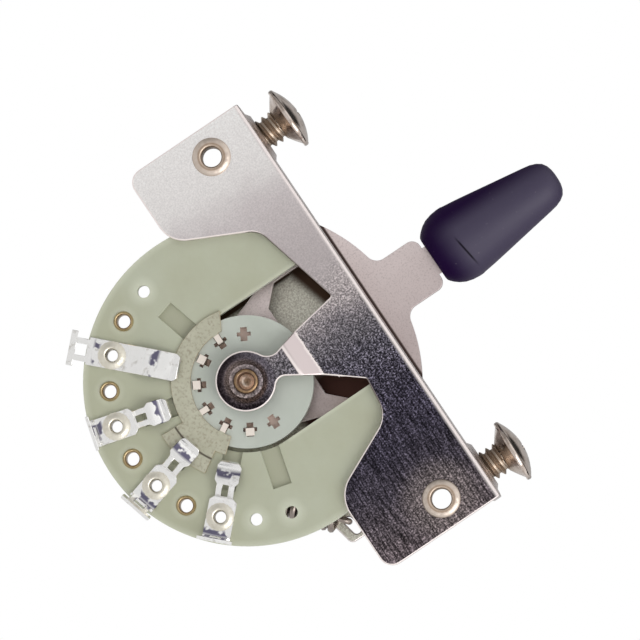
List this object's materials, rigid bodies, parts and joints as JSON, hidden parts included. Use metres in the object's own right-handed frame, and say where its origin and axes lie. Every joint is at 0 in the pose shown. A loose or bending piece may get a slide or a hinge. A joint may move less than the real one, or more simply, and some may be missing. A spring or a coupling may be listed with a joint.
{
  "type": "guitar pickup selector switch",
  "caption": "Open-frame lever selector switch: folded steel frame, swinging lever with a tapered knob, round contact wafer with spring clips, turning rotor blades and a sprung index arm.",
  "frame": {"origin": "centre of the mounting face's lever slot, in the plane of that face", "axes": "+Z out of the mounting face toward the knob, +X along the face to the right as the wafer's front is seen, +Y from the front flange to the rear flange"},
  "size_m": [0.0488, 0.0135, 0.0559],
  "materials": {
    "frame_nickel": "nickel-plated steel sheet, fine speckle",
    "eyelet_nickel": "dull nickel-plated brass eyelet",
    "screw_nickel": "bright nickel plate",
    "wafer_board": "greenish glass-fibre board",
    "clip_silver": "silver-plated spring brass",
    "rivet_tinned": "tinned, knurled flange",
    "eyelet_brass": "bare brass",
    "rotor_plastic": "pale translucent insulating disc",
    "blade_silver": "silver-plated brass, dulled",
    "rivet_brass": "bare brass",
    "lever_nickel": "nickel-plated steel plate",
    "pin_steel": "bright steel",
    "spring_steel": "plated spring wire",
    "knob_black": "black satin moulded plastic"
  },
  "bodies": {
    "switch_body": {"frame": "frame_nickel", "frame_eyelets": "eyelet_nickel", "mounting_screws": "screw_nickel", "wafer": "wafer_board", "front_common_terminal": "clip_silver", "front_terminal_1": "clip_silver", "front_terminal_2": "clip_silver", "front_terminal_3": "clip_silver", "back_common_terminal": "clip_silver", "back_terminal_1": "clip_silver", "back_terminal_2": "clip_silver", "back_terminal_3": "clip_silver", "front_terminal_rivets": "rivet_tinned", "back_terminal_eyelets": "eyelet_brass", "pivot_rivet": "rivet_brass", "rear_spacer": "rivet_brass", "index_arm_pin": "pin_steel", "index_spring": "spring_steel"},
    "lever_set": {"lever": "lever_nickel", "knob": "knob_black", "drive_pins": "pin_steel", "rotor": "rotor_plastic", "front_blade": "blade_silver", "back_blade": "blade_silver"},
    "index_arm_set": {"index_arm": "lever_nickel", "index_roller_pin": "pin_steel"},
    "roller_set": {"index_roller": "pin_steel"}
  },
  "joints": [
    {"name": "lever_swing", "type": "hinge", "parent": "switch_body", "child": "lever_set", "pos_m": [0, 0, -0.0152], "axis": [0, 1, 0], "range_deg": [-30, 30]},
    {"name": "index_arm_swing", "type": "hinge", "parent": "switch_body", "child": "index_arm_set", "pos_m": [-0.0072, 0, -0.0244], "axis": [0, -1, 0], "range_deg": [0, 5.2], "stiffness_Nm_per_rad": 0.02, "deforming": ["index_spring"]},
    {"name": "roller_spin", "type": "hinge", "parent": "index_arm_set", "child": "roller_set", "pos_m": [-0.00012, 0, -0.026], "axis": [0, 1, 0], "continuous": true}
  ]
}
